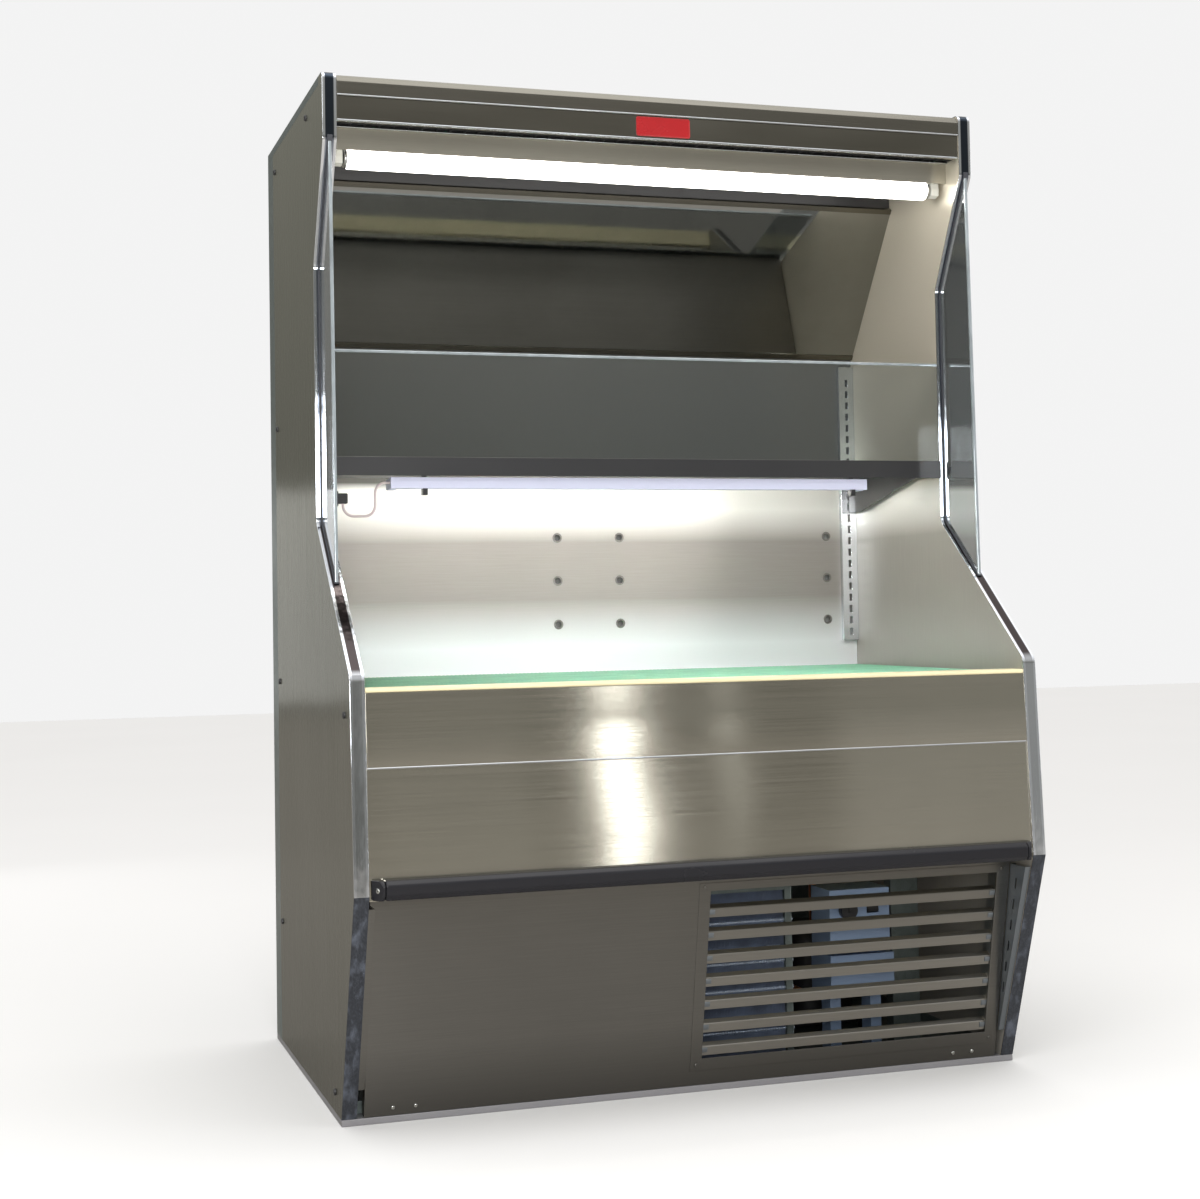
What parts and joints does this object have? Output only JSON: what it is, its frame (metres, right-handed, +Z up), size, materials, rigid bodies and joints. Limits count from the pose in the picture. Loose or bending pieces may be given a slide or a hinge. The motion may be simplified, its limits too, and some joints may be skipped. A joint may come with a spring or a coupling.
{
  "type": "refrigerated display case",
  "caption": "Open-front refrigerated merchandiser with insulated well, lit canopy, tilted mirror, one lit shelf and a louvred machine compartment behind a leaning panel.",
  "frame": {"origin": "centre of the bounding box in plan, on the floor", "axes": "+Z up; +Y from the open front to the back; +X to the right as seen from the front, along the width"},
  "size_m": [1.3028, 0.907, 1.847],
  "materials": {
    "brushed steel": "satin",
    "panel core": "matte",
    "polished trim": "polished",
    "galvanised sheet": "satin",
    "textured kick": "matte",
    "clear sheet": "gloss",
    "black screw": "gloss",
    "foam": "matte",
    "black plastic": "satin",
    "white liner": "satin",
    "lamp glass": "gloss",
    "lampholder": "satin",
    "mirror": "polished",
    "bright metal": "polished",
    "slotted standard": "gloss",
    "black shelf": "satin",
    "lamp batten": "satin",
    "lead sheath": "satin",
    "green mat": "matte",
    "cream nosing": "satin",
    "black bumper": "gloss",
    "coil fins": "satin",
    "compressor shell": "satin",
    "control box": "satin"
  },
  "bodies": {
    "case": {"base_plate": "galvanised sheet", "base_pan": "galvanised sheet", "end_panel_left": "panel core", "end_panel_right": "panel core", "side_skin_left": "brushed steel", "side_skin_right": "brushed steel", "edge_trim_left": "polished trim", "edge_trim_right": "polished trim", "kick_strips": "textured kick", "clear_wing_left": "clear sheet", "clear_wing_right": "clear sheet", "panel_screws": "black screw", "rear_casing": "galvanised sheet", "insulation": "foam", "top_cover": "galvanised sheet", "canopy_shell": "brushed steel", "canopy_fascia": "brushed steel", "air_honeycomb": "black plastic", "lamp_valance": "brushed steel", "canopy_liner": "white liner", "canopy_lamp": "lamp glass", "canopy_lampholders": "lampholder", "mirror_glass": "mirror", "mirror_retainers": "bright metal", "inner_back_wall": "brushed steel", "shelf_standards": "slotted standard", "lamp_socket": "black plastic", "tank_liner": "bright metal", "tank_rails": "galvanised sheet", "return_grille": "brushed steel", "front_nosing": "cream nosing", "front_panel_upper": "brushed steel", "front_panel_middle": "brushed steel", "bumper_rail": "black bumper", "bumper_end_caps": "black plastic", "hanger_channels": "slotted standard", "condenser_coil": "coil fins", "condenser_shroud": "galvanised sheet", "compressor": "compressor shell", "electrical_box": "control box", "evaporator_coil": "coil fins", "evap_fan_plate": "galvanised sheet"},
    "condenser_fan": {"condenser_fan": "black plastic"},
    "evaporator_fan_left": {"evap_fan_left": "black plastic"},
    "evaporator_fan_right": {"evap_fan_right": "black plastic"},
    "front_cover": {"lower_front_panel": "brushed steel", "grille_louvres": "bright metal"},
    "deck_tray_left": {"deck_pan_left": "brushed steel", "deck_mat_left": "green mat"},
    "deck_tray_right": {"deck_pan_right": "brushed steel", "deck_mat_right": "green mat"},
    "shelf": {"shelf_bracket_left": "black shelf", "shelf_bracket_right": "black shelf", "shelf_panel": "black shelf", "shelf_guard": "clear sheet", "shelf_lamp_housing": "lamp batten", "shelf_lamp_tube": "lamp glass", "shelf_lamp_lead": "lead sheath"},
    "thermostat_knob": {"thermostat_knob": "black plastic"},
    "light_switch": {"light_switch": "black plastic"}
  },
  "joints": [
    {"name": "condenser_fan_spin", "type": "hinge", "parent": "case", "child": "condenser_fan", "pos_m": [0.035, -0.1475, 0.19], "axis": [0, 1, 0], "continuous": true},
    {"name": "evaporator_fan_left_spin", "type": "hinge", "parent": "case", "child": "evaporator_fan_left", "pos_m": [-0.27, -0.1895, 0.606], "axis": [0, 1, 0], "continuous": true},
    {"name": "evaporator_fan_right_spin", "type": "hinge", "parent": "case", "child": "evaporator_fan_right", "pos_m": [0.27, -0.1895, 0.606], "axis": [0, 1, 0], "continuous": true},
    {"name": "front_cover_removal", "type": "slide", "parent": "case", "child": "front_cover", "axis": [0, -1, 0], "range_m": [0, 0.3]},
    {"name": "deck_tray_left_lift", "type": "slide", "parent": "case", "child": "deck_tray_left", "axis": [0, 0, 1], "range_m": [0, 0.2]},
    {"name": "deck_tray_right_lift", "type": "slide", "parent": "case", "child": "deck_tray_right", "axis": [0, 0, 1], "range_m": [0, 0.2]},
    {"name": "shelf_removal", "type": "slide", "parent": "case", "child": "shelf", "axis": [0, -1, 0], "range_m": [0, 0.35]},
    {"name": "thermostat_turn", "type": "hinge", "parent": "case", "child": "thermostat_knob", "pos_m": [0.34, -0.2145, 0.296], "axis": [0, 1, 0], "range_deg": [0, 270]},
    {"name": "light_switch_rock", "type": "hinge", "parent": "case", "child": "light_switch", "pos_m": [0.395, -0.2095, 0.296], "axis": [1, 0, 0], "range_deg": [0, 16]}
  ]
}
